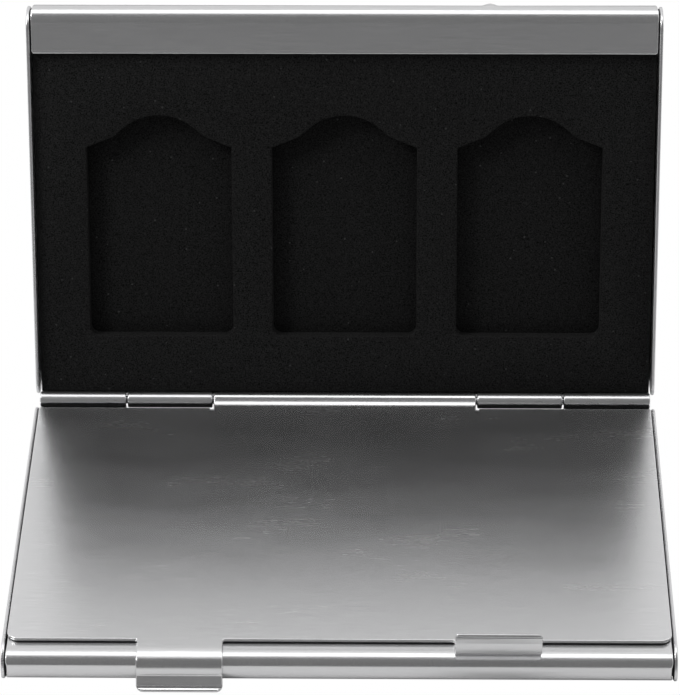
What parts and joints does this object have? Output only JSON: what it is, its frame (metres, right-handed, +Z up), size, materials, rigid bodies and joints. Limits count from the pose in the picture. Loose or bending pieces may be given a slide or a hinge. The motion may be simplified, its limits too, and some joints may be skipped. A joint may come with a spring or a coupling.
{
  "type": "game card case",
  "caption": "Slim hinged aluminium case: two shallow trays with die-cut foam pockets for game cards and a plain plate between them, held shut by bent latch tongues.",
  "frame": {"origin": "centre of the lower tray's flat underside, on the surface that the closed tray rests on", "axes": "+X to the right of someone who faces the front edge, along the hinge; +Y from the front edge towards the hinge; +Z up. Rest pose as pictured: upper tray open by 107.9 degrees, middle plate closed"},
  "size_m": [0.095, 0.0865, 0.0625],
  "materials": {
    "brushed_aluminium": "satin",
    "pin_steel": "satin",
    "black_foam": "matte",
    "adhesive_film": "satin"
  },
  "bodies": {
    "lower_tray": {"lower_tray": "brushed_aluminium", "hinge_pin": "pin_steel", "lower_adhesive_sheet": "adhesive_film", "lower_foam_base": "black_foam", "lower_pocket_foam": "black_foam"},
    "middle_plate": {"middle_plate": "brushed_aluminium"},
    "upper_tray": {"upper_tray": "brushed_aluminium", "upper_adhesive_sheet": "adhesive_film", "upper_foam_base": "black_foam", "upper_pocket_foam": "black_foam"}
  },
  "joints": [
    {"name": "plate_hinge", "type": "hinge", "parent": "lower_tray", "child": "middle_plate", "pos_m": [0, 0.03055, 0.0049], "axis": [-1, 0, 0], "range_deg": [0, 48]},
    {"name": "upper_tray_hinge", "type": "hinge", "parent": "middle_plate", "child": "upper_tray", "pos_m": [0, 0.03055, 0.0049], "axis": [-1, 0, 0], "range_deg": [-107.9, 24]}
  ]
}
